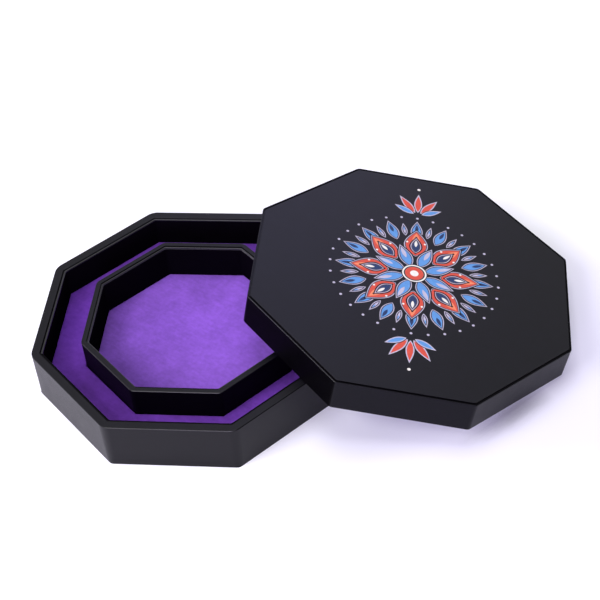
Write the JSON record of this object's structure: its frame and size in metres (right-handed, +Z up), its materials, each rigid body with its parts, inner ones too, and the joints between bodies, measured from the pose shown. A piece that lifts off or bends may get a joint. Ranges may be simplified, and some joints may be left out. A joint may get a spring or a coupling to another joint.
{
  "type": "octagonal dice tray with lid",
  "caption": "Octagonal tray with a velvet rolling well inside a ring, a velvet moat round it for loose dice, and a separate cap lid that leans on the rim.",
  "frame": {"origin": "centre of the tray's flat underside", "axes": "+Z up out of the tray, +X towards the leaning lid, -Y the front"},
  "size_m": [0.3695, 0.2479, 0.0697],
  "materials": {
    "black_leatherette": "black satin leatherette over board, very fine grain",
    "lid_panel": null,
    "black_lining": "matt black flocked strip",
    "purple_velvet": "purple velvet with a short brushed nap",
    "lid_velvet": "purple velvet, flat, glued",
    "foam": "dark open-cell foam, hidden",
    "underside_board": "greyboard covered in matt black paper",
    "inner_board": "bare greyboard, hidden"
  },
  "bodies": {
    "tray": {"bottom_board": "underside_board", "base_wall_front": "black_leatherette", "base_wall_front_right": "black_leatherette", "base_wall_right": "black_leatherette", "base_wall_back_right": "black_leatherette", "base_wall_back": "black_leatherette", "base_wall_back_left": "black_leatherette", "base_wall_left": "black_leatherette", "base_wall_front_left": "black_leatherette", "base_lining": "black_lining", "ring_wall_front": "black_leatherette", "ring_wall_front_right": "black_leatherette", "ring_wall_right": "black_leatherette", "ring_wall_back_right": "black_leatherette", "ring_wall_back": "black_leatherette", "ring_wall_back_left": "black_leatherette", "ring_wall_left": "black_leatherette", "ring_wall_front_left": "black_leatherette", "ring_lining": "black_lining", "moat_foam": "foam", "moat_velvet": "purple_velvet", "well_foam": "foam", "well_velvet": "purple_velvet"},
    "lid": {"lid_wall_front": "black_leatherette", "lid_wall_front_right": "black_leatherette", "lid_wall_right": "black_leatherette", "lid_wall_back_right": "black_leatherette", "lid_wall_back": "black_leatherette", "lid_wall_back_left": "black_leatherette", "lid_wall_left": "black_leatherette", "lid_wall_front_left": "black_leatherette", "lid_top_board": "inner_board", "lid_cover_plate": "black_leatherette", "lid_face_panel": "lid_panel", "lid_lining": "lid_velvet"}
  },
  "joints": [
    {"name": "lid_lift", "type": "slide", "parent": "tray", "child": "lid", "axis": [0, 0, 1], "range_m": [0, 0.06]}
  ]
}
